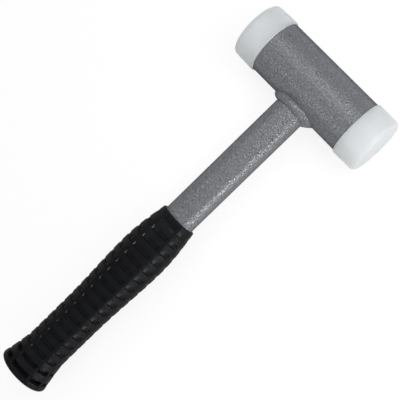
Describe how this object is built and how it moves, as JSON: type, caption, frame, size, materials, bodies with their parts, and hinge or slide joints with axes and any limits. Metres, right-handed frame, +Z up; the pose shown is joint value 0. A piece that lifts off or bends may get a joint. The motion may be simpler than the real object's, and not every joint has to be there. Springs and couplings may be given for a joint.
{
  "type": "dead blow hammer",
  "caption": "Dead blow hammer: tubular steel head with white nylon faces and loose shot inside, on a welded tubular steel shaft with a pocketed black rubber grip.",
  "frame": {"origin": "on the floor that the hammer lies on, under the middle of its box", "axes": "+X along the head's axis towards the front face, +Y along the handle towards the head, +Z up from the floor"},
  "size_m": [0.107, 0.2792, 0.04],
  "materials": {
    "hammer_finish_paint": "grey hammer-finish enamel, mottled, half gloss",
    "white_nylon": "turned white nylon, satin",
    "black_rubber": "moulded black rubber, satin",
    "bare_steel": "plain steel, inside the head"
  },
  "bodies": {
    "hammer": {"head_tube": "hammer_finish_paint", "front_face": "white_nylon", "rear_face": "white_nylon", "front_chamber_disc": "bare_steel", "rear_chamber_disc": "bare_steel", "shaft_tube": "hammer_finish_paint", "weld_bead": "hammer_finish_paint", "grip": "black_rubber"},
    "shot": {"steel_shot_01": "bare_steel", "steel_shot_02": "bare_steel", "steel_shot_03": "bare_steel", "steel_shot_04": "bare_steel", "steel_shot_05": "bare_steel", "steel_shot_06": "bare_steel", "steel_shot_07": "bare_steel", "steel_shot_08": "bare_steel", "steel_shot_09": "bare_steel", "steel_shot_10": "bare_steel", "steel_shot_11": "bare_steel", "steel_shot_12": "bare_steel", "steel_shot_13": "bare_steel", "steel_shot_14": "bare_steel", "steel_shot_15": "bare_steel", "steel_shot_16": "bare_steel", "steel_shot_17": "bare_steel", "steel_shot_18": "bare_steel", "steel_shot_19": "bare_steel", "steel_shot_20": "bare_steel", "steel_shot_21": "bare_steel", "steel_shot_22": "bare_steel", "steel_shot_23": "bare_steel", "steel_shot_24": "bare_steel", "steel_shot_25": "bare_steel", "steel_shot_26": "bare_steel", "steel_shot_27": "bare_steel", "steel_shot_28": "bare_steel", "steel_shot_29": "bare_steel", "steel_shot_30": "bare_steel", "steel_shot_31": "bare_steel", "steel_shot_32": "bare_steel", "steel_shot_33": "bare_steel", "steel_shot_34": "bare_steel", "steel_shot_35": "bare_steel", "steel_shot_36": "bare_steel", "steel_shot_37": "bare_steel", "steel_shot_38": "bare_steel", "steel_shot_39": "bare_steel", "steel_shot_40": "bare_steel"}
  },
  "joints": [
    {"name": "shot_travel", "type": "slide", "parent": "hammer", "child": "shot", "axis": [1, 0, 0], "range_m": [-0.005, 0.005]}
  ]
}
